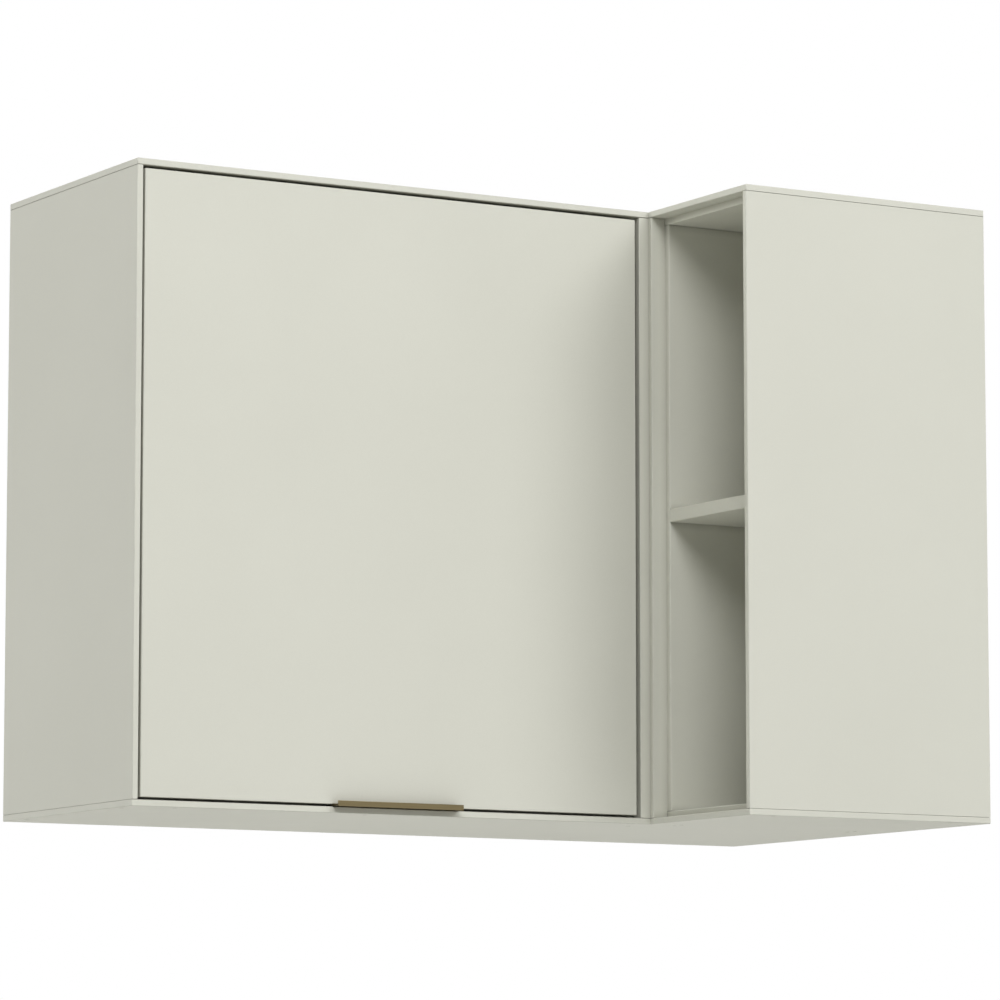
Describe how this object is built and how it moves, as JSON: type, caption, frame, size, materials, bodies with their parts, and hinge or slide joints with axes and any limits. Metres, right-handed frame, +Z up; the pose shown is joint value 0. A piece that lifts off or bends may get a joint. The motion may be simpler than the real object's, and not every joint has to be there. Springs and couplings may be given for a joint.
{
  "type": "corner wall cabinet",
  "caption": "Wall cabinet for a kitchen corner: a cupboard with one lift-up flap on gas struts and an edge pull, and an open shelved niche standing forward at its end.",
  "frame": {"origin": "middle of the upper hanging rail's rear face, on the wall that the cabinet hangs on", "axes": "+X to the right as seen from the front, towards the second wall; +Y back into the wall; +Z up"},
  "size_m": [0.974, 0.528, 0.7],
  "materials": {
    "lacquered_board": "matte off-white lacquer on board, very fine grain",
    "hardboard": "off-white painted hardboard",
    "bronze_anodised": "matte champagne bronze anodised",
    "nickel_steel": "satin nickel plated pressed steel",
    "zinc_steel": "zinc plated steel",
    "polished_steel": "polished steel",
    "black_paint": "satin black paint",
    "clear_rubber": "milky soft plastic",
    "plug_plastic": "matte plastic"
  },
  "bodies": {
    "carcass": {"top_panel": "lacquered_board", "bottom_panel": "lacquered_board", "left_side_panel": "lacquered_board", "right_side_panel": "lacquered_board", "door_post": "lacquered_board", "blind_panel": "lacquered_board", "niche_back_panel": "lacquered_board", "niche_end_panel": "lacquered_board", "niche_wall_panel": "lacquered_board", "niche_shelf": "lacquered_board", "inner_shelf": "lacquered_board", "upper_hanging_rail": "lacquered_board", "lower_wall_rail": "lacquered_board", "back_board": "hardboard", "left_hinge_arm": "nickel_steel", "right_hinge_arm": "nickel_steel", "left_hinge_plate": "nickel_steel", "right_hinge_plate": "nickel_steel", "left_strut_foot_bracket": "zinc_steel", "right_strut_foot_bracket": "zinc_steel", "left_shelf_pin_1": "zinc_steel", "left_shelf_pin_2": "zinc_steel", "right_shelf_pin_1": "zinc_steel", "right_shelf_pin_2": "zinc_steel", "bottom_hole_plug_1": "plug_plastic", "bottom_hole_plug_2": "plug_plastic", "bottom_screw_left_side_1": "zinc_steel", "bottom_screw_left_side_2": "zinc_steel", "bottom_screw_right_side_1": "zinc_steel", "bottom_screw_right_side_2": "zinc_steel", "bottom_screw_post_1": "zinc_steel", "bottom_screw_blind_1": "zinc_steel", "bottom_screw_blind_2": "zinc_steel", "bottom_screw_niche_back_1": "zinc_steel", "bottom_screw_niche_back_2": "zinc_steel", "bottom_screw_niche_end_1": "zinc_steel", "bottom_screw_niche_end_2": "zinc_steel", "bottom_screw_niche_wall_1": "zinc_steel", "bottom_screw_niche_wall_2": "zinc_steel"},
    "door": {"door_panel": "lacquered_board", "door_pull": "bronze_anodised", "pull_screw_1": "zinc_steel", "pull_screw_2": "zinc_steel", "pull_screw_3": "zinc_steel", "left_door_buffer": "clear_rubber", "right_door_buffer": "clear_rubber", "left_hinge_cup": "nickel_steel", "right_hinge_cup": "nickel_steel", "left_hinge_pin": "polished_steel", "right_hinge_pin": "polished_steel", "left_strut_head_bracket": "zinc_steel", "right_strut_head_bracket": "zinc_steel"},
    "strut_tubes": {"left_strut_tube": "black_paint", "right_strut_tube": "black_paint"},
    "strut_rods": {"left_strut_rod": "polished_steel", "right_strut_rod": "polished_steel"}
  },
  "joints": [
    {"name": "door_lift", "type": "hinge", "parent": "carcass", "child": "door", "pos_m": [-0.16605, -0.317, 0.03686], "axis": [-1, 0, 0], "range_deg": [0, 85]},
    {"name": "strut_swing", "type": "hinge", "parent": "carcass", "child": "strut_tubes", "pos_m": [-0.16605, -0.267, -0.23314], "axis": [1, 0, 0], "range_deg": [0, 17.4]},
    {"name": "strut_slide", "type": "slide", "parent": "strut_tubes", "child": "strut_rods", "axis": [0, -0.1182, 0.993], "range_m": [0, 0.0515]}
  ],
  "couplings": [
    {"joint": "strut_swing", "follows": "door_lift", "ratio": 0.20435},
    {"joint": "strut_slide", "follows": "door_lift", "m_per_rad": 0.034653}
  ]
}
